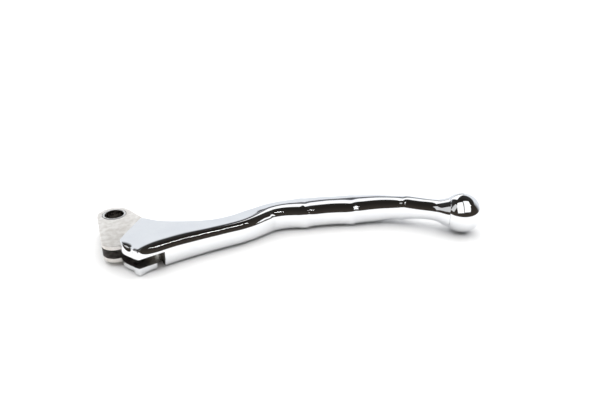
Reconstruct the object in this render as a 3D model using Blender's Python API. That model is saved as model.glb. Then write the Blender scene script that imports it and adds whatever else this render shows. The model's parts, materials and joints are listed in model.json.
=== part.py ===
"""Motorcycle clutch lever, for the left hand: a cast lever, its pivot sleeve and its cable anchor.

Frame: the origin is on the pivot axis, at the lever's middle height. +X runs from the pivot to the
ball end's centre, +Y points to the rider's grip, and +Z points up along the pivot axis.
"""

import math
from collections import namedtuple

import bmesh
import bpy
from mathutils import Vector

MM = 0.001

# Root: the thick end that carries the cable.
ROOT_HEIGHT = 12.4 * MM
WAIST_HEIGHT = 11.4 * MM
EAR_HEIGHT = 8.0 * MM
SLOT_HEIGHT = 4.2 * MM

# Pivot: a plain sleeve in the ear.
EAR_RADIUS = 7.8 * MM
SLEEVE_OUTER_RADIUS = 5.4 * MM
SLEEVE_BORE_RADIUS = 4.45 * MM
SLEEVE_PROUD = 0.1 * MM
SLEEVE_CHAMFER = 0.3 * MM

# Toe: the rounded front corner of the ear, below and in front of the pivot.
TOE_CENTRE = (7.0 * MM, -25.0 * MM)
TOE_RADIUS = 6.0 * MM

# Cable anchor: a barrel that swivels in a blind bore from below.
ANCHOR_CENTRE = (23.5 * MM, -24.0 * MM)
ANCHOR_RADIUS = 4.2 * MM
TOP_SKIN = 1.8 * MM
CABLE_HOLE_RADIUS = 1.3 * MM
NIPPLE_SEAT_RADIUS = 2.4 * MM
ANCHOR_CHAMFER = 0.4 * MM

# Cable slot: cut by a disc that comes in from the front left, and the way in for the cable below it.
SLOT_DISC_CENTRE = (3.0 * MM, -41.5 * MM)
SLOT_DISC_RADIUS = 28.0 * MM
CABLE_GAP_WIDTH = 3.8 * MM
CABLE_GAP_END = (28.0 * MM, -34.0 * MM)

# Grip and ball end. The blade stretches with its reach from the waist on: the outline's points are
# given for the drawn reach.
GRIP_HEIGHT = 12.2 * MM
NECK_HEIGHT = 9.6 * MM
WAIST_X = 45.0 * MM
DRAWN_REACH = 164.9 * MM
BALL_REACH = 164.9 * MM
BALL_RADIUS = 9.5 * MM

# Fits.
RUNNING_GAP = 0.2 * MM

# Mesh fineness.
SIDE_POINTS = 6
RUN_STEPS = 3
ROUND_SIDES = 48

# How far the ball's centre stands above the lever's middle when its underside is level with the root's.
BALL_RISE = BALL_RADIUS - ROOT_HEIGHT / 2

# A cross-section stands upright on a line from the lever's rider side, back, to its finger side, front.
# back_round and front_round are the widths of its two rounded sides; between them it is flat.
# fullness is 2 for sides that are half ellipses, and more for squarer ones.
Section = namedtuple("Section", "back_x back_y front_x front_y height rise back_round front_round fullness")


def stretched(x):
    """A place along the lever, moved out with the ball when the blade's reach changes."""
    beyond = max(x - WAIST_X, 0)
    return x + beyond * (BALL_REACH - DRAWN_REACH) / (DRAWN_REACH - WAIST_X)


def section(back, front, height, rise, back_round, front_round, fullness):
    """A cross-section, with its plan in millimetres and its height and rise already in metres."""
    plan = (stretched(back[0] * MM), back[1] * MM, stretched(front[0] * MM), front[1] * MM)
    return Section(*plan, height, rise, back_round * MM, front_round * MM, fullness)


def root_sections():
    """The sections from the step beside the ear, round the nose's facet, to its corner."""
    return [
        section((14.6, -6.0), (9.6, -29.0), ROOT_HEIGHT, 0, 2.6, 1.2, 2.4),
        section((16.5, -6.2), (11.4, -33.4), ROOT_HEIGHT, 0, 2.6, 2.0, 2.4),
        section((18.6, -7.0), (14.4, -35.9), ROOT_HEIGHT, 0, 2.8, 3.6, 2.2),
        section((20.3, -7.8), (17.3, -37.9), ROOT_HEIGHT, 0, 2.9, 0.8, 2.4),
        section((21.5, -8.3), (20.0, -39.6), ROOT_HEIGHT, 0, 3.0, 1.2, 2.4),
    ]


def blade_sections():
    """The sections from the nose's corner, along the waist and the finger grip, into the ball.

    The grip has four finger hollows with a low ridge between each two.
    """
    waist_start = (ROOT_HEIGHT + WAIST_HEIGHT) / 2
    grip_start = (GRIP_HEIGHT + WAIST_HEIGHT) / 2
    neck_start = (GRIP_HEIGHT + NECK_HEIGHT) / 2
    return [
        section((21.5, -8.3), (20.0, -39.6), ROOT_HEIGHT, 0, 3.0, 1.2, 2.4),
        section((25.0, -9.1), (24.0, -36.7), ROOT_HEIGHT, 0, 3.0, 5.4, 2.4),
        section((29.0, -9.5), (29.2, -33.0), ROOT_HEIGHT, 0, 3.0, 5.0, 2.4),
        section((34.0, -9.4), (35.4, -28.6), ROOT_HEIGHT, 0, 3.2, 4.4, 2.4),
        section((39.6, -8.8), (43.0, -24.2), waist_start, 0, 3.2, 4.0, 2.4),
        section((45.4, -7.6), (50.0, -20.2), WAIST_HEIGHT, 0, 3.3, 3.6, 2.4),
        section((51.2, -5.3), (57.0, -16.6), WAIST_HEIGHT, 0, 3.3, 3.6, 2.4),
        section((56.2, -2.2), (62.6, -13.7), WAIST_HEIGHT, 0, 3.4, 3.8, 2.4),
        section((60.2, 1.2), (68.2, -9.8), grip_start, 0, 3.8, 4.6, 2.5),
        section((64.4, 4.2), (72.9, -5.2), GRIP_HEIGHT, 0, 4.6, 5.4, 2.7),
        section((66.7, 6.1), (74.5, -3.95), GRIP_HEIGHT, 0, 5.0, 5.4, 2.8),
        section((68.8, 7.9), (76.1, -2.1), GRIP_HEIGHT, 0, 5.3, 5.4, 2.9),
        section((73.6, 10.7), (79.1, -0.9), GRIP_HEIGHT, 0, 5.9, 5.8, 3.0),
        section((78.4, 12.8), (82.4, 0.1), GRIP_HEIGHT, 0, 6.2, 6.2, 3.0),
        section((85.9, 15.3), (89.6, 0.25), GRIP_HEIGHT, 0, 7.2, 7.1, 3.0),
        section((87.5, 15.65), (91.2, -0.05), GRIP_HEIGHT, 0, 7.4, 7.3, 3.0),
        section((89.2, 16.0), (92.9, 0.95), GRIP_HEIGHT, 0, 7.5, 7.4, 3.0),
        section((94.3, 17.0), (96.3, 1.6), GRIP_HEIGHT, 0, 7.7, 7.6, 3.0),
        section((102.4, 18.1), (103.4, 3.2), GRIP_HEIGHT, 0, 7.5, 7.4, 3.0),
        section((110.4, 18.9), (111.3, 3.35), GRIP_HEIGHT, 0, 7.8, 7.7, 3.0),
        section((112.6, 18.95), (113.5, 3.0), GRIP_HEIGHT, 0, 7.8, 7.7, 3.0),
        section((114.6, 18.9), (115.4, 4.0), GRIP_HEIGHT, 0.04 * BALL_RISE, 7.5, 7.4, 3.0),
        section((118.2, 18.6), (118.4, 4.4), GRIP_HEIGHT, 0.08 * BALL_RISE, 7.1, 7.0, 3.0),
        section((125.6, 18.0), (125.0, 5.1), GRIP_HEIGHT, 0.2 * BALL_RISE, 6.5, 6.4, 3.0),
        section((133.5, 16.4), (131.8, 5.2), neck_start, 0.38 * BALL_RISE, 5.7, 5.6, 2.9),
        section((138.6, 15.1), (135.8, 4.6), neck_start, 0.50 * BALL_RISE, 5.5, 5.4, 2.9),
        section((140.4, 14.5), (137.3, 3.8), neck_start, 0.56 * BALL_RISE, 5.5, 5.4, 2.8),
        section((142.4, 13.9), (138.9, 4.0), neck_start, 0.62 * BALL_RISE, 5.4, 5.3, 2.8),
        section((149.0, 11.5), (144.6, 1.4), NECK_HEIGHT, 0.82 * BALL_RISE, 5.5, 5.5, 2.6),
        section((154.4, 8.7), (150.2, -0.6), NECK_HEIGHT, 0.93 * BALL_RISE, 5.1, 5.1, 2.4),
        section((161.6, 5.4), (158.6, -4.0), NECK_HEIGHT, BALL_RISE, 4.9, 4.9, 2.2),
    ]


def new_material(name, colour, roughness, metallic):
    """A plain metal or plastic finish."""
    material = bpy.data.materials.new(name)
    material.use_nodes = True
    shader = material.node_tree.nodes["Principled BSDF"]
    shader.inputs["Base Color"].default_value = (*colour, 1)
    shader.inputs["Roughness"].default_value = roughness
    shader.inputs["Metallic"].default_value = metallic
    return material


def chrome_material():
    return new_material("chrome_plate", (0.82, 0.84, 0.86), 0.06, 1)


def sleeve_material():
    return new_material("turned_sleeve_steel", (0.72, 0.70, 0.67), 0.25, 1)


def steel_material():
    return new_material("zinc_plated_steel", (0.60, 0.60, 0.58), 0.35, 1)


def new_object(name, shape, material=None):
    """A named object from a bmesh, with its faces turned outwards."""
    bmesh.ops.recalc_face_normals(shape, faces=shape.faces)
    mesh = bpy.data.meshes.new(name)
    shape.to_mesh(mesh)
    shape.free()
    if material:
        mesh.materials.append(material)
    made = bpy.data.objects.new(name, mesh)
    bpy.context.collection.objects.link(made)
    return made


def combine(target, other, operation):
    """Cut other out of target, or join it to target, and remove other."""
    step = target.modifiers.new(operation.lower(), "BOOLEAN")
    step.object = other
    step.operation = operation
    step.solver = "EXACT"
    bpy.context.view_layer.update()
    evaluated = target.evaluated_get(bpy.context.evaluated_depsgraph_get())
    result = bpy.data.meshes.new_from_object(evaluated)
    target.modifiers.clear()
    old = target.data
    target.data = result
    bpy.data.meshes.remove(old)
    bpy.data.objects.remove(other)


def smooth_value(before, start, end, after, share):
    """A value on the smooth curve through start and end, share of the way between them."""
    slope_start = (end - before) / 2
    slope_end = (after - start) / 2
    rise = end - start
    return (
        start
        + slope_start * share
        + (3 * rise - 2 * slope_start - slope_end) * share ** 2
        + (slope_start + slope_end - 2 * rise) * share ** 3
    )


def smooth_run(sections, steps):
    """More sections along the smooth curves through the given ones."""
    last = len(sections) - 1
    run = []
    for index in range(last):
        four = [sections[min(max(index + shift, 0), last)] for shift in (-1, 0, 1, 2)]
        for step in range(steps):
            run.append(Section(*(smooth_value(*values, step / steps) for values in zip(*four))))
    run.append(sections[last])
    return run


def quarter_points(fullness):
    """Points of a quarter of a full-sided curve, from its side (1, 0) to its top (0, 1)."""
    points = []
    for step in range(SIDE_POINTS + 1):
        angle = math.radians(90) * step / SIDE_POINTS
        points.append((math.cos(angle) ** (2 / fullness), math.sin(angle) ** (2 / fullness)))
    return points


def section_ring(part):
    """A section's outline: up its front side, over the top, down its back and along the bottom."""
    back = Vector((part.back_x, part.back_y, 0))
    front = Vector((part.front_x, part.front_y, 0))
    middle = (back + front) / 2
    across = (front - back).normalized()
    half_width = (front - back).length / 2
    half_height = part.height / 2
    front_flat = half_width - part.front_round
    back_flat = half_width - part.back_round
    side = quarter_points(part.fullness)
    outline = [(front_flat + part.front_round * out, up) for out, up in side]
    outline += [(-back_flat - part.back_round * out, up) for out, up in reversed(side)]
    outline += [(-back_flat - part.back_round * out, -up) for out, up in side[1:]]
    outline += [(front_flat + part.front_round * out, -up) for out, up in reversed(side[1:])]
    return [middle + across * out + Vector((0, 0, part.rise + half_height * up)) for out, up in outline]


def lofted(name, sections, material=None):
    """A closed body through the sections."""
    shape = bmesh.new()
    rings = [[shape.verts.new(point) for point in section_ring(part)] for part in sections]
    for ring, following in zip(rings, rings[1:]):
        for index, corner in enumerate(ring):
            after = (index + 1) % len(ring)
            shape.faces.new((corner, ring[after], following[after], following[index]))
    shape.faces.new(rings[0])
    shape.faces.new(rings[-1])
    bmesh.ops.remove_doubles(shape, verts=shape.verts, dist=0.00001)
    return new_object(name, shape, material)


def extruded(name, outline, low, high, material=None):
    """A plate with the given outline, between two heights."""
    shape = bmesh.new()
    floor = shape.faces.new([shape.verts.new((x, y, low)) for x, y in outline])
    grown = bmesh.ops.extrude_face_region(shape, geom=[floor])
    moved = [item for item in grown["geom"] if isinstance(item, bmesh.types.BMVert)]
    bmesh.ops.translate(shape, verts=moved, vec=(0, 0, high - low))
    return new_object(name, shape, material)


def cylinder(name, centre, radius, low, high, sides=ROUND_SIDES):
    """An upright round bar between two heights."""
    shape = bmesh.new()
    bmesh.ops.create_cone(
        shape, cap_ends=True, segments=sides, radius1=radius, radius2=radius, depth=high - low
    )
    bmesh.ops.translate(shape, verts=shape.verts, vec=(*centre, (low + high) / 2))
    return new_object(name, shape)


def arc(centre, radius, start, end, steps):
    """Points of an arc, with its angles in degrees."""
    points = []
    for step in range(steps + 1):
        angle = math.radians(start + (end - start) * step / steps)
        points.append((centre[0] + radius * math.cos(angle), centre[1] + radius * math.sin(angle)))
    return points


def ear_outline():
    """The ear seen from above: round at the pivot and at the toe, and running into the root."""
    pivot = arc((0, 0), EAR_RADIUS, 38, 196, 20)
    toe = arc(TOE_CENTRE, TOE_RADIUS, 196, 268, 8)
    inside_root = [(x * MM, y * MM) for x, y in ((12.0, -33.4), (17.0, -30.0), (19.0, -10.0))]
    shoulder = [(x * MM, y * MM) for x, y in ((15.2, -5.8), (10.6, -1.0))]
    return pivot + toe + inside_root + shoulder


def cable_gap():
    """The upright gap below the slot, from the anchor's bore out through the front wall."""
    start = Vector((*ANCHOR_CENTRE, 0))
    way = (Vector((*CABLE_GAP_END, 0)) - start).normalized()
    side = Vector((-way.y, way.x, 0)) * CABLE_GAP_WIDTH / 2
    end = start + way * ROOT_HEIGHT * 2
    outline = [tuple(point[:2]) for point in (start - side, end - side, end + side, start + side)]
    return extruded("cable_gap_cutter", outline, -ROOT_HEIGHT, 0)


def lever_blade():
    """The cast lever: root, ear, finger grip and ball end in one piece."""
    sections = smooth_run(root_sections(), RUN_STEPS) + smooth_run(blade_sections(), RUN_STEPS)[1:]
    blade = lofted("lever_blade", sections, chrome_material())

    ear = extruded("ear", ear_outline(), -EAR_HEIGHT / 2, EAR_HEIGHT / 2)
    combine(blade, ear, "UNION")

    shape = bmesh.new()
    bmesh.ops.create_uvsphere(shape, u_segments=36, v_segments=18, radius=BALL_RADIUS)
    bmesh.ops.translate(shape, verts=shape.verts, vec=(BALL_REACH, 0, BALL_RISE))
    combine(blade, new_object("ball", shape), "UNION")

    slot = cylinder(
        "slot_cutter", SLOT_DISC_CENTRE, SLOT_DISC_RADIUS, -SLOT_HEIGHT / 2, SLOT_HEIGHT / 2, 96
    )
    combine(blade, slot, "DIFFERENCE")

    pivot_radius = SLEEVE_OUTER_RADIUS + RUNNING_GAP
    combine(blade, cylinder("pivot_cutter", (0, 0), pivot_radius, -EAR_HEIGHT, EAR_HEIGHT), "DIFFERENCE")

    anchor_radius = ANCHOR_RADIUS + RUNNING_GAP
    anchor_roof = ROOT_HEIGHT / 2 - TOP_SKIN
    anchor = cylinder("anchor_cutter", ANCHOR_CENTRE, anchor_radius, -ROOT_HEIGHT, anchor_roof)
    combine(blade, anchor, "DIFFERENCE")
    combine(blade, cable_gap(), "DIFFERENCE")

    blade.data.shade_smooth()
    blade.data.set_sharp_from_angle(angle=math.radians(32))
    return blade


def turned(name, profile, centre, material):
    """A round piece with a closed profile of (radius, height) points, about an upright axis."""
    shape = bmesh.new()
    corners = [shape.verts.new((radius, 0, height)) for radius, height in profile]
    edges = [shape.edges.new((a, b)) for a, b in zip(corners, corners[1:] + corners[:1])]
    bmesh.ops.spin(
        shape, geom=corners + edges, cent=(0, 0, 0), axis=(0, 0, 1),
        angle=math.radians(360), steps=ROUND_SIDES,
    )
    bmesh.ops.remove_doubles(shape, verts=shape.verts, dist=0.000001)
    made = new_object(name, shape, material)
    made.location = (*centre, 0)
    return made


def pivot_bush():
    """The plain sleeve that the pivot bolt clamps and the lever turns on."""
    top = EAR_HEIGHT / 2 + SLEEVE_PROUD
    inner = SLEEVE_BORE_RADIUS
    outer = SLEEVE_OUTER_RADIUS
    profile = [
        (inner, -top), (outer - SLEEVE_CHAMFER, -top), (outer, -top + SLEEVE_CHAMFER),
        (outer, top - SLEEVE_CHAMFER), (outer - SLEEVE_CHAMFER, top), (inner, top),
    ]
    bush = turned("pivot_bush", profile, (0, 0), sleeve_material())
    bush.data.shade_smooth()
    bush.data.set_sharp_from_angle(angle=math.radians(32))
    return bush


def cable_barrel():
    """The swivelling anchor: a bar with a seat for the cable's nipple and a way in for its wire."""
    low = -ROOT_HEIGHT / 2 + RUNNING_GAP
    high = ROOT_HEIGHT / 2 - TOP_SKIN - RUNNING_GAP
    shape = bmesh.new()
    bmesh.ops.create_cone(
        shape, cap_ends=True, segments=ROUND_SIDES,
        radius1=ANCHOR_RADIUS, radius2=ANCHOR_RADIUS, depth=high - low,
    )
    rims = [edge for edge in shape.edges if abs(edge.verts[0].co.z - edge.verts[1].co.z) < 0.00001]
    bmesh.ops.bevel(shape, geom=rims, offset=ANCHOR_CHAMFER, segments=1, affect="EDGES")
    bmesh.ops.translate(shape, verts=shape.verts, vec=(0, 0, (low + high) / 2))
    barrel = new_object("cable_barrel", shape, steel_material())
    barrel.location = (*ANCHOR_CENTRE, 0)
    bpy.context.view_layer.update()

    for name, radius, start, end in (
        ("wire_hole_cutter", CABLE_HOLE_RADIUS, -2 * ANCHOR_RADIUS, 0),
        ("nipple_seat_cutter", NIPPLE_SEAT_RADIUS, -ANCHOR_RADIUS / 3, 2 * ANCHOR_RADIUS),
    ):
        shape = bmesh.new()
        bmesh.ops.create_cone(
            shape, cap_ends=True, segments=24, radius1=radius, radius2=radius, depth=end - start
        )
        bmesh.ops.rotate(
            shape, verts=shape.verts, cent=(0, 0, 0), matrix=quarter_turn_about_y()
        )
        bmesh.ops.translate(shape, verts=shape.verts, vec=((start + end) / 2, 0, 0))
        cutter = new_object(name, shape)
        cutter.location = barrel.location
        combine(barrel, cutter, "DIFFERENCE")

    slit_half = CABLE_HOLE_RADIUS * 0.8
    outline = [
        (-2 * ANCHOR_RADIUS, -slit_half), (0, -slit_half), (0, slit_half), (-2 * ANCHOR_RADIUS, slit_half),
    ]
    slit = extruded("slit_cutter", outline, -ROOT_HEIGHT, 0)
    slit.location = barrel.location
    combine(barrel, slit, "DIFFERENCE")
    barrel.data.shade_smooth()
    barrel.data.set_sharp_from_angle(angle=math.radians(32))
    return barrel


def quarter_turn_about_y():
    return Vector((0, 0, 1)).rotation_difference(Vector((1, 0, 0))).to_matrix()


def build():
    for old in list(bpy.data.objects):
        bpy.data.objects.remove(old)
    lever_blade()
    pivot_bush()
    cable_barrel()


build()
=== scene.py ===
import json
import math

import bmesh
import bpy
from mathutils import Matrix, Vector

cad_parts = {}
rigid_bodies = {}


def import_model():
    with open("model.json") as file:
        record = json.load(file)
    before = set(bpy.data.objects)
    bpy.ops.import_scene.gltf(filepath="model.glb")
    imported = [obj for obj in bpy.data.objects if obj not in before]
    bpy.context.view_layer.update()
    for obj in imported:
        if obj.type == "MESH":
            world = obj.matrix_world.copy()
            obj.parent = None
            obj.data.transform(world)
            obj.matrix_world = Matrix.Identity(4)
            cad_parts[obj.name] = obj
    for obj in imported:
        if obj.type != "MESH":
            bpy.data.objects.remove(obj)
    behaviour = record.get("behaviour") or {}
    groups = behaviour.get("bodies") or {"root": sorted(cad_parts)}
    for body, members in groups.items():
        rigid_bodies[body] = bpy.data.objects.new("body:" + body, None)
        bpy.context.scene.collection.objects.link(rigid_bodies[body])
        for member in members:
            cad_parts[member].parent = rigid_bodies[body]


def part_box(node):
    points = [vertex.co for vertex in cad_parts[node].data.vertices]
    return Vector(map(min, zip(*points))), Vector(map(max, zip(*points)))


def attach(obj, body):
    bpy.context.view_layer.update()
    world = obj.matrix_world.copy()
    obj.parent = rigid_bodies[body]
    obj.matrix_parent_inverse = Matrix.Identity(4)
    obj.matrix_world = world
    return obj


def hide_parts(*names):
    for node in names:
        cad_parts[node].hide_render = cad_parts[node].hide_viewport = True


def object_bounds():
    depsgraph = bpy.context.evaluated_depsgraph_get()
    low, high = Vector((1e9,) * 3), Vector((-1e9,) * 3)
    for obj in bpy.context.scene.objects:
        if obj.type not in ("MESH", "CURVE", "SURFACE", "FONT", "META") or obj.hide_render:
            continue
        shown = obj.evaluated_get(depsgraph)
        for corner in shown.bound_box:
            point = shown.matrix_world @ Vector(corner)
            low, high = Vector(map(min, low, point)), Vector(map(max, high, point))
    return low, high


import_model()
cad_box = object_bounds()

# ---------------------------------------------------------------------------------------------
# Studio: a white table top under soft overhead light. A dark room stands in front of the lever,
# a pale blue-grey wall behind it, and the chrome mirrors both.
TABLE_SIZE = 8
table_height = cad_box[0].z
bpy.ops.object.select_all(action="DESELECT")
bpy.ops.mesh.primitive_plane_add(size=TABLE_SIZE, location=(0, 0, table_height))
table_top = bpy.context.object
table_top.name = "table_top"

white_paint = bpy.data.materials.new("white_painted_table")
white_paint.use_nodes = True
paint = white_paint.node_tree.nodes["Principled BSDF"]
paint.inputs["Base Color"].default_value = (0.9, 0.9, 0.9, 1)
paint.inputs["Roughness"].default_value = 0.8
table_top.data.materials.append(white_paint)

room = bpy.data.worlds.new("studio_room")
bpy.context.scene.world = room
room.use_nodes = True
nodes = room.node_tree.nodes
links = room.node_tree.links
backdrop = nodes["Background"]
direction = nodes.new("ShaderNodeTexCoord")
split = nodes.new("ShaderNodeSeparateXYZ")
links.new(direction.outputs["Generated"], split.inputs["Vector"])

# The wall behind: pale up to about 35 degrees, then the dark of the room overhead.
PALE_WALL = (0.92, 0.95, 0.99, 1)
ROOM_ABOVE = (0.02, 0.018, 0.016, 1)
behind = nodes.new("ShaderNodeValToRGB")
behind.color_ramp.elements[0].position = 0.0
behind.color_ramp.elements[0].color = PALE_WALL
behind.color_ramp.elements[1].position = 1.0
behind.color_ramp.elements[1].color = ROOM_ABOVE
for position, colour in ((0.53, PALE_WALL), (0.60, (0.05, 0.05, 0.05, 1))):
    stop = behind.color_ramp.elements.new(position)
    stop.color = colour
links.new(split.outputs["Z"], behind.inputs["Fac"])

# The room in front: dark from the table's edge up.
ahead = nodes.new("ShaderNodeValToRGB")
ahead.color_ramp.elements[0].position = 0.0
ahead.color_ramp.elements[0].color = (0.055, 0.046, 0.038, 1)
ahead.color_ramp.elements[1].position = 1.0
ahead.color_ramp.elements[1].color = ROOM_ABOVE
links.new(split.outputs["Z"], ahead.inputs["Fac"])

# One gives way to the other between straight sideways and about 24 degrees behind that.
turn = nodes.new("ShaderNodeMapRange")
turn.inputs["From Min"].default_value = 0.0
turn.inputs["From Max"].default_value = 0.4
links.new(split.outputs["Y"], turn.inputs["Value"])
both = nodes.new("ShaderNodeMix")
both.data_type = "RGBA"
links.new(turn.outputs["Result"], both.inputs["Factor"])
links.new(ahead.outputs["Color"], both.inputs["A"])
links.new(behind.outputs["Color"], both.inputs["B"])

# The camera itself sees a pale backdrop past the table's edge.
look = nodes.new("ShaderNodeLightPath")
seen = nodes.new("ShaderNodeMix")
seen.data_type = "RGBA"
seen.inputs["B"].default_value = (0.97, 0.97, 0.97, 1)
links.new(look.outputs["Is Camera Ray"], seen.inputs["Factor"])
links.new(both.outputs["Result"], seen.inputs["A"])
links.new(seen.outputs["Result"], backdrop.inputs["Color"])
backdrop.inputs["Strength"].default_value = 1.0


def softbox(name, place, aim, width, length, strength, mirrored):
    """A rectangular studio lamp that faces a point. Chrome shows it only when mirrored is true."""
    lamp = bpy.data.lights.new(name, "AREA")
    lamp.shape = "RECTANGLE"
    lamp.size = width
    lamp.size_y = length
    lamp.energy = strength
    stand = bpy.data.objects.new(name, lamp)
    bpy.context.scene.collection.objects.link(stand)
    stand.location = place
    stand.rotation_euler = (Vector(aim) - Vector(place)).to_track_quat("-Z", "Y").to_euler()
    stand.visible_camera = False
    stand.visible_glossy = mirrored
    return stand


softbox("side_strip", (0.83, -0.54, 1.00), (0.04, -0.025, 0), 0.6, 0.020, 0.45, True)

# The overhead light is as even over the table as daylight through a diffuser.
diffuser = bpy.data.lights.new("overhead_diffuser", "SUN")
diffuser.energy = 4.3
diffuser.angle = math.radians(110)
overhead = bpy.data.objects.new("overhead_diffuser", diffuser)
bpy.context.scene.collection.objects.link(overhead)
overhead.rotation_euler = (math.radians(-10), 0, 0)
overhead.visible_glossy = False


def studio_card(name, corners, colour, strength):
    """A flat card that only the chrome sees: a pale reflector or a dark flag."""
    bpy.ops.object.select_all(action="DESELECT")
    bpy.ops.mesh.primitive_plane_add(size=1)
    card = bpy.context.object
    card.name = name
    for corner, place in zip(card.data.vertices, corners):
        corner.co = place
    cloth = bpy.data.materials.new(name)
    cloth.use_nodes = True
    cloth_shader = cloth.node_tree.nodes["Principled BSDF"]
    cloth_shader.inputs["Base Color"].default_value = (0, 0, 0, 1)
    cloth_shader.inputs["Specular IOR Level"].default_value = 0
    cloth_shader.inputs["Emission Color"].default_value = (*colour, 1)
    cloth_shader.inputs["Emission Strength"].default_value = strength
    card.data.materials.append(cloth)
    card.visible_camera = False
    card.visible_diffuse = False
    card.visible_shadow = False


# A tapered reflector stands low behind the grip, with a dark flag farther back. Two panes in front of
# the ball show in it, and a pale reflector on the left shows in the neck.
WHITE_CLOTH = (1, 1, 1)
GREY_CLOTH = (0.12, 0.12, 0.13)
studio_card("grip_reflector", (
    (0.078, 0.13, 0.090),
    (0.20, 0.13, 0.072),
    (0.082, 0.10, 0.24),
    (0.20, 0.13, 0.105),
), WHITE_CLOTH, 1.3)
studio_card("grip_flag", (
    (0.04, 0.40, 0.225),
    (0.30, 0.40, 0.115),
    (0.04, 0.40, 0.275),
    (0.30, 0.40, 0.170),
), GREY_CLOTH, 1.0)
studio_card("left_window_pane", (
    (0.140, -0.036, 0.018),
    (0.163, -0.038, 0.020),
    (0.142, -0.004, 0.048),
    (0.162, -0.006, 0.050),
), WHITE_CLOTH, 1.3)
studio_card("right_window_pane", (
    (0.165, -0.038, 0.022),
    (0.188, -0.034, 0.022),
    (0.165, -0.002, 0.052),
    (0.186, 0.000, 0.050),
), WHITE_CLOTH, 1.3)
studio_card("neck_reflector", (
    (-0.317, -0.046, 0.158),
    (-0.257, -0.236, 0.158),
    (-0.159, 0.004, 0.456),
    (-0.099, -0.187, 0.456),
), WHITE_CLOTH, 0.75)

camera = bpy.data.objects.new("camera", bpy.data.cameras.new("camera"))
bpy.context.scene.collection.objects.link(camera)
camera.data.sensor_width = 36
camera.data.lens = 36
camera.data.clip_start = 0.01
camera.data.clip_end = 20
camera.location = (0.08251, -0.25561, 0.12988)
camera.rotation_euler = Vector((0.01852, 0.90612, -0.42262)).to_track_quat("-Z", "Y").to_euler()
bpy.context.scene.camera = camera
bpy.context.scene.view_settings.view_transform = "Standard"

# ---------------------------------------------------------------------------------------------
# Lever blade: one aluminium casting, polished and chromed. Its cross-sections stand upright from
# the rider's side to the finger side. They are drawn as rings, bridged and subdivided. The ear, the
# ball, the cable slot and the bores are joined and cut as they are in the real lever.
MM = 0.001
blade_low, blade_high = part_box("lever_blade")
underside = blade_low.z
BALL_RADIUS = (blade_high.z - blade_low.z) / 2
ball_centre = Vector((blade_high.x - BALL_RADIUS, 0, underside + BALL_RADIUS))
BALL_RISE = ball_centre.z
ROOT_HEIGHT = -2 * underside
WAIST_HEIGHT = 11.4 * MM
GRIP_HEIGHT = 12.2 * MM
NECK_HEIGHT = 9.6 * MM
RING_POINTS = 24
# A ring of this many points is this much smaller once it has been subdivided.
RING_SHRINK = (2 + math.cos(math.tau / RING_POINTS)) / 3


def deselect_all():
    bpy.ops.object.select_all(action="DESELECT")


def keep_selected(test):
    """Of the selected points, those that pass the test stay selected."""
    shape = bmesh.from_edit_mesh(bpy.context.object.data)
    for corner in shape.verts:
        corner.select = corner.select and test(corner.co)
    shape.select_flush_mode()


def apply_modifier(piece, kind, **settings):
    """A modifier added, set and applied."""
    deselect_all()
    piece.select_set(True)
    bpy.context.view_layer.objects.active = piece
    step = piece.modifiers.new(kind.lower(), kind)
    for setting, value in settings.items():
        setattr(step, setting, value)
    bpy.ops.object.modifier_apply(modifier=step.name)


def stand_ring(back, front, height, rise, back_round, front_round, squareness):
    """One cross-section: a ring with a rounded back half and a rounded front half, moved apart."""
    half_height = height / 2 / RING_SHRINK
    across = Vector((front[0] - back[0], front[1] - back[1], 0)) * MM
    half_width = across.length / 2
    bpy.ops.mesh.select_all(action="DESELECT")
    half_step = math.pi / RING_POINTS
    bpy.ops.mesh.primitive_circle_add(
        vertices=RING_POINTS, radius=1, rotation=(math.pi / 2, half_step, 0))
    bpy.ops.mesh.select_linked()
    shape = bmesh.from_edit_mesh(bpy.context.object.data)
    for corner in shape.verts:
        if corner.select:
            side = abs(corner.co.x)
            up = abs(corner.co.z)
            corner.co *= (side ** squareness + up ** squareness) ** (-1 / squareness)
    bpy.ops.transform.resize(value=(1, 1, half_height), center_override=(0, 0, 0))
    for side, rounding in ((1, front_round * MM), (-1, back_round * MM)):
        bpy.ops.mesh.select_linked()
        keep_selected(lambda place: place.x * side > 0)
        bpy.ops.transform.resize(value=(rounding / RING_SHRINK, 1, 1), center_override=(0, 0, 0))
        bpy.ops.transform.translate(value=(side * (half_width - rounding), 0, 0))
    bpy.ops.mesh.select_linked()
    turn = math.atan2(across.y, across.x)
    bpy.ops.transform.rotate(value=-turn, orient_axis="Z", center_override=(0, 0, 0))
    middle = Vector((back[0] + front[0], back[1] + front[1], 0)) / 2 * MM
    bpy.ops.transform.translate(value=(middle.x, middle.y, rise))


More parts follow.
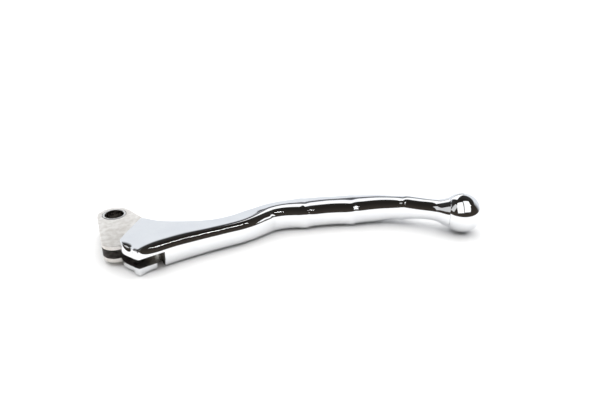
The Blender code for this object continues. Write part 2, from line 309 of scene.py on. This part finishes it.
# Each row holds the back and front points in mm, the height, the rise, the back and front rounding
# in mm, and the squareness, where 2 is an ellipse and more is boxier.
ROOT_TO_WAIST = (ROOT_HEIGHT + WAIST_HEIGHT) / 2
WAIST_TO_GRIP = (GRIP_HEIGHT + WAIST_HEIGHT) / 2
GRIP_TO_NECK = (GRIP_HEIGHT + NECK_HEIGHT) / 2
sections = [
    ((14.6, -6.0), (9.6, -29.0), ROOT_HEIGHT, 0, 2.6, 1.2, 2.4),
    ((16.5, -6.2), (11.4, -33.4), ROOT_HEIGHT, 0, 2.6, 2.0, 2.4),
    ((18.6, -7.0), (14.4, -35.9), ROOT_HEIGHT, 0, 2.8, 3.6, 2.2),
    ((19.9, -7.6), (16.7, -37.5), ROOT_HEIGHT, 0, 2.9, 3.4, 2.2),
    ((20.3, -7.8), (17.3, -37.9), ROOT_HEIGHT, 0, 2.9, 0.8, 2.4),
    ((20.6, -7.9), (17.8, -38.3), ROOT_HEIGHT, 0, 2.9, 0.8, 2.4),
    ((21.3, -8.2), (19.6, -39.4), ROOT_HEIGHT, 0, 3.0, 0.9, 2.4),
    ((21.5, -8.3), (20.0, -39.6), ROOT_HEIGHT, 0, 3.0, 1.2, 2.4),
    ((21.8, -8.4), (20.5, -39.2), ROOT_HEIGHT, 0, 3.0, 2.4, 2.4),
    ((25.0, -9.1), (24.0, -36.7), ROOT_HEIGHT, 0, 3.0, 5.4, 2.4),
    ((29.0, -9.5), (29.2, -33.0), ROOT_HEIGHT, 0, 3.0, 5.0, 2.4),
    ((34.0, -9.4), (35.4, -28.6), ROOT_HEIGHT, 0, 3.2, 4.4, 2.4),
    ((39.6, -8.8), (43.0, -24.2), ROOT_TO_WAIST, 0, 3.2, 4.0, 2.4),
    ((45.4, -7.6), (50.0, -20.2), WAIST_HEIGHT, 0, 3.3, 3.6, 2.4),
    ((51.2, -5.3), (57.0, -16.6), WAIST_HEIGHT, 0, 3.3, 3.6, 2.4),
    ((56.2, -2.2), (62.6, -13.7), WAIST_HEIGHT, 0, 3.4, 3.8, 2.4),
    ((60.2, 1.2), (68.2, -9.8), WAIST_TO_GRIP, 0, 3.8, 4.6, 2.5),
    ((64.4, 4.2), (72.9, -5.2), GRIP_HEIGHT, 0, 4.6, 5.4, 2.7),
    ((66.7, 6.1), (74.5, -3.95), GRIP_HEIGHT, 0, 5.0, 5.4, 2.8),
    ((68.8, 7.9), (76.1, -2.1), GRIP_HEIGHT, 0, 5.3, 5.4, 2.9),
    ((73.6, 10.7), (79.1, -0.9), GRIP_HEIGHT, 0, 5.9, 5.8, 3.0),
    ((78.4, 12.8), (82.4, 0.1), GRIP_HEIGHT, 0, 6.2, 6.2, 3.0),
    ((85.9, 15.3), (89.6, 0.25), GRIP_HEIGHT, 0, 7.2, 7.1, 3.0),
    ((87.5, 15.65), (91.2, -0.15), 1.02 * GRIP_HEIGHT, 0, 7.0, 6.5, 3.5),
    ((89.2, 16.0), (92.9, 0.95), GRIP_HEIGHT, 0, 7.5, 7.4, 3.0),
    ((94.3, 17.0), (96.3, 1.6), GRIP_HEIGHT, 0, 7.7, 7.6, 3.0),
    ((102.4, 18.1), (103.4, 3.2), GRIP_HEIGHT, 0, 7.5, 7.4, 3.0),
    ((110.4, 18.9), (111.3, 3.35), GRIP_HEIGHT, 0, 7.8, 7.7, 3.0),
    ((112.6, 18.95), (113.5, 2.9), 1.02 * GRIP_HEIGHT, 0, 7.4, 6.9, 3.5),
    ((114.6, 18.9), (115.4, 4.0), GRIP_HEIGHT, 0.04 * BALL_RISE, 7.5, 7.4, 3.0),
    ((118.2, 18.6), (118.4, 4.4), GRIP_HEIGHT, 0.08 * BALL_RISE, 7.1, 7.0, 3.0),
    ((125.6, 18.0), (125.0, 5.1), GRIP_HEIGHT, 0.2 * BALL_RISE, 6.5, 6.4, 3.0),
    ((133.5, 16.4), (131.8, 5.2), GRIP_TO_NECK, 0.38 * BALL_RISE, 5.7, 5.6, 2.9),
    ((138.6, 15.1), (135.8, 4.6), GRIP_TO_NECK, 0.50 * BALL_RISE, 5.5, 5.4, 2.9),
    ((140.4, 14.5), (137.3, 3.7), 1.03 * GRIP_TO_NECK, 0.56 * BALL_RISE, 5.3, 4.9, 3.3),
    ((142.4, 13.9), (138.9, 4.0), GRIP_TO_NECK, 0.62 * BALL_RISE, 5.4, 5.3, 2.8),
    ((149.0, 11.5), (144.6, 1.4), NECK_HEIGHT, 0.82 * BALL_RISE, 5.5, 5.5, 2.6),
    ((153.2, 9.4), (149.2, 0.0), NECK_HEIGHT, 0.90 * BALL_RISE, 5.1, 5.1, 2.4),
    ((156.2, 8.3), (152.4, -1.7), 1.04 * NECK_HEIGHT, 0.95 * BALL_RISE, 5.3, 5.3, 2.3),
    ((158.8, 8.3), (154.6, -4.2), 1.28 * NECK_HEIGHT, 0.98 * BALL_RISE, 6.6, 6.6, 2.1),
    ((161.4, 8.2), (157.6, -6.6), 1.56 * NECK_HEIGHT, BALL_RISE, 7.8, 7.8, 2.0),
]

deselect_all()
bpy.ops.mesh.primitive_circle_add(vertices=3)
blade = bpy.context.object
blade.name = "chromed_blade"
bpy.ops.object.mode_set(mode="EDIT")
bpy.ops.mesh.delete(type="VERT")
for numbers in sections:
    stand_ring(*numbers)
bpy.ops.mesh.select_all(action="SELECT")
bpy.ops.mesh.bridge_edge_loops(type="SINGLE", use_merge=False)
bpy.ops.object.mode_set(mode="OBJECT")
apply_modifier(blade, "SUBSURF", levels=2, render_levels=2, boundary_smooth="ALL")
bpy.ops.object.mode_set(mode="EDIT")
bpy.ops.mesh.select_all(action="DESELECT")
bpy.ops.mesh.select_mode(type="EDGE")
bpy.ops.mesh.select_non_manifold()
bpy.ops.mesh.edge_face_add()
bpy.ops.mesh.select_all(action="SELECT")
bpy.ops.mesh.normals_make_consistent(inside=False)
bpy.ops.object.mode_set(mode="OBJECT")


def metal_finish(name, light, dark, patch_size, shine, scratch, wave_size, wave_depth,
                 grain_size, grain_depth, metal=1.0):
    """A metal with patches between two colours, a range of roughness, fine lines along the part,
    a slow polishing wave and a fine grain. Sizes and depths are in metres."""
    finish = bpy.data.materials.new(name)
    finish.use_nodes = True
    nodes = finish.node_tree.nodes
    links = finish.node_tree.links
    shader = nodes["Principled BSDF"]
    shader.inputs["Metallic"].default_value = metal
    place = nodes.new("ShaderNodeTexCoord").outputs["Object"]

    patches = nodes.new("ShaderNodeTexNoise")
    patches.inputs["Scale"].default_value = 1 / patch_size
    patches.inputs["Detail"].default_value = 6
    links.new(place, patches.inputs["Vector"])
    tone = nodes.new("ShaderNodeValToRGB")
    tone.color_ramp.elements[0].position = 0.35
    tone.color_ramp.elements[0].color = (*dark, 1)
    tone.color_ramp.elements[1].position = 0.65
    tone.color_ramp.elements[1].color = (*light, 1)
    links.new(patches.outputs["Fac"], tone.inputs["Fac"])
    links.new(tone.outputs["Color"], shader.inputs["Base Color"])

    lines_place = nodes.new("ShaderNodeMapping")
    lines_place.inputs["Scale"].default_value = (1 / (40 * scratch), 1 / scratch, 1 / scratch)
    links.new(place, lines_place.inputs["Vector"])
    lines = nodes.new("ShaderNodeTexNoise")
    lines.inputs["Scale"].default_value = 1
    lines.inputs["Detail"].default_value = 3
    links.new(lines_place.outputs["Vector"], lines.inputs["Vector"])

    mixed = nodes.new("ShaderNodeMath")
    mixed.operation = "MULTIPLY"
    links.new(lines.outputs["Fac"], mixed.inputs[0])
    links.new(patches.outputs["Fac"], mixed.inputs[1])
    roughness = nodes.new("ShaderNodeMapRange")
    roughness.inputs["From Min"].default_value = 0.15
    roughness.inputs["From Max"].default_value = 0.40
    roughness.inputs["To Min"].default_value = shine[0]
    roughness.inputs["To Max"].default_value = shine[1]
    links.new(mixed.outputs["Value"], roughness.inputs["Value"])
    links.new(roughness.outputs["Result"], shader.inputs["Roughness"])

    normal = None
    for size, depth, detail in ((wave_size, wave_depth, 1), (grain_size, grain_depth, 4)):
        relief = nodes.new("ShaderNodeTexNoise")
        relief.inputs["Scale"].default_value = 1 / size
        relief.inputs["Detail"].default_value = detail
        links.new(place, relief.inputs["Vector"])
        bump = nodes.new("ShaderNodeBump")
        bump.inputs["Strength"].default_value = 1
        bump.inputs["Distance"].default_value = depth
        links.new(relief.outputs["Fac"], bump.inputs["Height"])
        if normal:
            links.new(normal, bump.inputs["Normal"])
        normal = bump.outputs["Normal"]
    line_bump = nodes.new("ShaderNodeBump")
    line_bump.inputs["Strength"].default_value = 1
    line_bump.inputs["Distance"].default_value = grain_depth
    links.new(lines.outputs["Fac"], line_bump.inputs["Height"])
    links.new(normal, line_bump.inputs["Normal"])
    links.new(line_bump.outputs["Normal"], shader.inputs["Normal"])
    return finish


bright_chrome = metal_finish(
    "bright_chrome", light=(0.83, 0.84, 0.85), dark=(0.79, 0.80, 0.82), patch_size=9 * MM,
    shine=(0.015, 0.05), scratch=0.05 * MM, wave_size=11 * MM, wave_depth=0.05 * MM,
    grain_size=2.2 * MM, grain_depth=0.0012 * MM)
satin_ear = metal_finish(
    "satin_machined_ear", light=(0.84, 0.82, 0.79), dark=(0.66, 0.63, 0.59), patch_size=2.4 * MM,
    shine=(0.28, 0.46), scratch=0.09 * MM, wave_size=3 * MM, wave_depth=0.02 * MM,
    grain_size=0.35 * MM, grain_depth=0.006 * MM, metal=0.6)
# The slot and bore walls are milled, and their dark tone is painted shade for the inside of the cuts.
milled_wall_painted_shade = metal_finish(
    "milled_slot_wall_painted_shade", light=(0.50, 0.48, 0.46), dark=(0.30, 0.28, 0.27), patch_size=1.5 * MM,
    shine=(0.30, 0.50), scratch=0.12 * MM, wave_size=2 * MM, wave_depth=0.01 * MM,
    grain_size=0.3 * MM, grain_depth=0.006 * MM)
blade.data.materials.append(bright_chrome)


def join_or_cut(target, other, operation):
    """The other body joined to the target or cut out of it, and then removed."""
    apply_modifier(target, "BOOLEAN", object=other, operation=operation, solver="MANIFOLD",
                   material_mode="TRANSFER")
    bpy.data.objects.remove(other)


# The step beside the ear has its edge broken by the polishing wheel.
STEP_BEVEL = 0.6 * MM
bpy.ops.object.mode_set(mode="EDIT")
bpy.ops.mesh.select_mode(type="EDGE")
bpy.ops.mesh.select_all(action="DESELECT")
shape = bmesh.from_edit_mesh(blade.data)
for face in shape.faces:
    closes_the_root = len(face.verts) > 4 and face.calc_center_median().x < 20 * MM
    if closes_the_root:
        for edge in face.edges:
            edge.select = True
bpy.ops.mesh.bevel(offset=STEP_BEVEL, segments=3)
bpy.ops.object.mode_set(mode="OBJECT")

# The ear is a plate round the pivot, the toe and the shoulder that runs into the root.
EAR_RADIUS = 7.8 * MM
EAR_HEIGHT = 8.0 * MM
EAR_BEVEL = 0.35 * MM
TOE_RADIUS = 6 * MM
SHOULDER_RADIUS = 2.4 * MM
LEVEL = 0.01 * MM
deselect_all()
bpy.ops.mesh.primitive_cylinder_add(vertices=128, radius=EAR_RADIUS, depth=EAR_HEIGHT)
ear = bpy.context.object
bpy.ops.object.mode_set(mode="EDIT")
bpy.ops.mesh.primitive_cylinder_add(
    vertices=96, radius=TOE_RADIUS, depth=EAR_HEIGHT, location=(7 * MM, -25 * MM, 0))
bpy.ops.mesh.primitive_cylinder_add(
    vertices=48, radius=SHOULDER_RADIUS, depth=EAR_HEIGHT, location=(16.4 * MM, -9.3 * MM, 0))
bpy.ops.mesh.select_all(action="SELECT")
bpy.ops.mesh.convex_hull()
bpy.ops.mesh.select_all(action="SELECT")
bpy.ops.mesh.dissolve_limited(angle_limit=math.radians(0.5))
bpy.ops.mesh.select_mode(type="EDGE")
bpy.ops.mesh.select_all(action="DESELECT")
shape = bmesh.from_edit_mesh(ear.data)
for edge in shape.edges:
    edge.select = abs(edge.verts[0].co.z - edge.verts[1].co.z) < LEVEL
bpy.ops.mesh.bevel(offset=EAR_BEVEL, segments=3)
bpy.ops.object.mode_set(mode="OBJECT")
ear.data.materials.append(satin_ear)
join_or_cut(blade, ear, "UNION")

# The ball end runs out of the neck.
deselect_all()
bpy.ops.mesh.primitive_uv_sphere_add(
    segments=96, ring_count=48, radius=BALL_RADIUS, location=ball_centre)
ball = bpy.context.object
ball.data.materials.append(bright_chrome)
join_or_cut(blade, ball, "UNION")

# The cable slot is cut by a wide disc from the front left.
SLOT_DISC_RADIUS = 28 * MM
SLOT_HEIGHT = 4.2 * MM
deselect_all()
bpy.ops.mesh.primitive_cylinder_add(
    vertices=192, radius=SLOT_DISC_RADIUS, depth=SLOT_HEIGHT, location=(3 * MM, -41.5 * MM, 0))
disc = bpy.context.object
# The cut faces take the milled finish with its painted shade.
disc.data.materials.append(milled_wall_painted_shade)
join_or_cut(blade, disc, "DIFFERENCE")

# The pivot bore, and the blind bore from below for the cable anchor, each clear of its piece.
RUNNING_GAP = 0.2 * MM
bush_low, bush_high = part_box("pivot_bush")
barrel_low, barrel_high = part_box("cable_barrel")
bush_radius = (bush_high.x - bush_low.x) / 2
barrel_radius = (barrel_high.x - barrel_low.x) / 2
barrel_centre = (barrel_low + barrel_high) / 2
for centre, radius, low, high in (
    (Vector((0, 0, 0)), bush_radius + RUNNING_GAP, -EAR_HEIGHT, EAR_HEIGHT),
    (barrel_centre, barrel_radius + RUNNING_GAP, -ROOT_HEIGHT, barrel_high.z + RUNNING_GAP),
):
    deselect_all()
    bpy.ops.mesh.primitive_cylinder_add(
        vertices=96, radius=radius, depth=high - low, location=(centre.x, centre.y, (low + high) / 2))
    bore = bpy.context.object
    bore.data.materials.append(milled_wall_painted_shade)
    join_or_cut(blade, bore, "DIFFERENCE")

# The way in for the cable, up from below and out through the front wall.
CABLE_GAP_WIDTH = 3.8 * MM
way_in = Vector((28 * MM, -34 * MM, 0)) - Vector((barrel_centre.x, barrel_centre.y, 0))
way_in.normalize()
gap_length = 2 * ROOT_HEIGHT
gap_centre = Vector((barrel_centre.x, barrel_centre.y, -ROOT_HEIGHT / 2)) + way_in * gap_length / 2
deselect_all()
bpy.ops.mesh.primitive_cube_add(
    size=1, location=gap_centre, rotation=(0, 0, math.atan2(way_in.y, way_in.x)),
    scale=(gap_length, CABLE_GAP_WIDTH, ROOT_HEIGHT))
way = bpy.context.object
way.data.materials.append(milled_wall_painted_shade)
join_or_cut(blade, way, "DIFFERENCE")

deselect_all()
blade.select_set(True)
bpy.context.view_layer.objects.active = blade
bpy.ops.object.transform_apply(location=True, rotation=True, scale=True)
bpy.ops.object.shade_smooth_by_angle(angle=math.radians(30))
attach(blade, "lever")
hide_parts("lever_blade")

# ---------------------------------------------------------------------------------------------
# Pivot sleeve: a plain turned steel tube that the pivot bolt clamps. The ear turns on it. Its ends
# are faced and its edges broken, and its bore is painted dark as shade.
SLEEVE_WALL = 0.95 * MM
SLEEVE_BEVEL = 0.18 * MM
deselect_all()
bpy.ops.mesh.primitive_cylinder_add(
    vertices=128, radius=bush_radius, depth=bush_high.z - bush_low.z,
    location=(bush_low + bush_high) / 2)
sleeve = bpy.context.object
sleeve.name = "turned_sleeve"
bpy.ops.object.mode_set(mode="EDIT")
bpy.ops.mesh.select_mode(type="FACE")
bpy.ops.mesh.select_all(action="DESELECT")
shape = bmesh.from_edit_mesh(sleeve.data)
for face in shape.faces:
    face.select = abs(face.normal.z) > 0.9
bpy.ops.mesh.inset(thickness=SLEEVE_WALL, use_individual=True)
bpy.ops.mesh.bridge_edge_loops()
bpy.ops.mesh.select_mode(type="EDGE")
bpy.ops.mesh.select_all(action="DESELECT")
shape = bmesh.from_edit_mesh(sleeve.data)
for edge in shape.edges:
    ends = [corner.co for corner in edge.verts]
    on_end_face = all(abs(abs(place.z) - bush_high.z) < LEVEL for place in ends)
    edge.select = on_end_face and abs(ends[0].xy.length - ends[1].xy.length) < LEVEL
bpy.ops.mesh.bevel(offset=SLEEVE_BEVEL, segments=3)
bpy.ops.mesh.select_all(action="SELECT")
bpy.ops.mesh.normals_make_consistent(inside=False)
bpy.ops.object.mode_set(mode="OBJECT")
sleeve.data.materials.append(metal_finish(
    "faced_sleeve_steel", light=(0.88, 0.87, 0.85), dark=(0.70, 0.68, 0.65), patch_size=1.6 * MM,
    shine=(0.14, 0.26), scratch=0.06 * MM, wave_size=2 * MM, wave_depth=0.004 * MM,
    grain_size=0.25 * MM, grain_depth=0.003 * MM))
# The second finish is painted shade: a dark colour that stands in for the shade inside the bore.
sleeve.data.materials.append(metal_finish(
    "painted_shade_sleeve_bore", light=(0.30, 0.28, 0.26), dark=(0.16, 0.145, 0.13), patch_size=1.2 * MM,
    shine=(0.25, 0.50), scratch=0.06 * MM, wave_size=2 * MM, wave_depth=0.004 * MM,
    grain_size=0.25 * MM, grain_depth=0.003 * MM))
# The faces inside the bore take the painted shade finish.
for face in sleeve.data.polygons:
    if face.normal.xy.length > 0.9 and face.center.xy.length < bush_radius - SLEEVE_WALL / 2:
        face.material_index = 1
bpy.ops.object.transform_apply(location=True, rotation=True, scale=True)
bpy.ops.object.shade_smooth_by_angle(angle=math.radians(30))
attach(sleeve, "bush")
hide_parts("pivot_bush")

# ---------------------------------------------------------------------------------------------
# Cable anchor: a zinc plated steel barrel that turns in its blind bore as the lever is pulled. The
# cable's nipple sits in the wide hole, and its wire leaves by the narrow one and its slit.
BARREL_BEVEL = 0.4 * MM
WIRE_HOLE_RADIUS = 1.3 * MM
NIPPLE_SEAT_RADIUS = 2.4 * MM
SLIT_WIDTH = 1.6 * WIRE_HOLE_RADIUS
deselect_all()
bpy.ops.mesh.primitive_cylinder_add(
    vertices=96, radius=barrel_radius, depth=barrel_high.z - barrel_low.z, location=barrel_centre)
barrel = bpy.context.object
barrel.name = "turned_barrel"
bpy.ops.object.mode_set(mode="EDIT")
bpy.ops.mesh.select_mode(type="EDGE")
bpy.ops.mesh.select_all(action="DESELECT")
shape = bmesh.from_edit_mesh(barrel.data)
for edge in shape.edges:
    edge.select = abs(edge.verts[0].co.z - edge.verts[1].co.z) < LEVEL
bpy.ops.mesh.bevel(offset=BARREL_BEVEL, segments=3)
bpy.ops.object.mode_set(mode="OBJECT")
barrel.data.materials.append(metal_finish(
    "zinc_plated_barrel", light=(0.70, 0.70, 0.66), dark=(0.52, 0.51, 0.47), patch_size=1.2 * MM,
    shine=(0.22, 0.40), scratch=0.08 * MM, wave_size=2 * MM, wave_depth=0.004 * MM,
    grain_size=0.25 * MM, grain_depth=0.004 * MM))
for radius, start, end in (
    (WIRE_HOLE_RADIUS, -2 * barrel_radius, 0),
    (NIPPLE_SEAT_RADIUS, -barrel_radius / 3, 2 * barrel_radius),
):
    deselect_all()
    bpy.ops.mesh.primitive_cylinder_add(
        vertices=48, radius=radius, depth=end - start, rotation=(0, math.pi / 2, 0),
        location=(barrel_centre.x + (start + end) / 2, barrel_centre.y, 0))
    join_or_cut(barrel, bpy.context.object, "DIFFERENCE")
deselect_all()
bpy.ops.mesh.primitive_cube_add(
    size=1, location=(barrel_centre.x - barrel_radius, barrel_centre.y, -ROOT_HEIGHT / 2),
    scale=(2 * barrel_radius, SLIT_WIDTH, ROOT_HEIGHT))
join_or_cut(barrel, bpy.context.object, "DIFFERENCE")
deselect_all()
barrel.select_set(True)
bpy.context.view_layer.objects.active = barrel
bpy.ops.object.transform_apply(location=True, rotation=True, scale=True)
bpy.ops.object.shade_smooth_by_angle(angle=math.radians(30))
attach(barrel, "barrel")
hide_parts("cable_barrel")
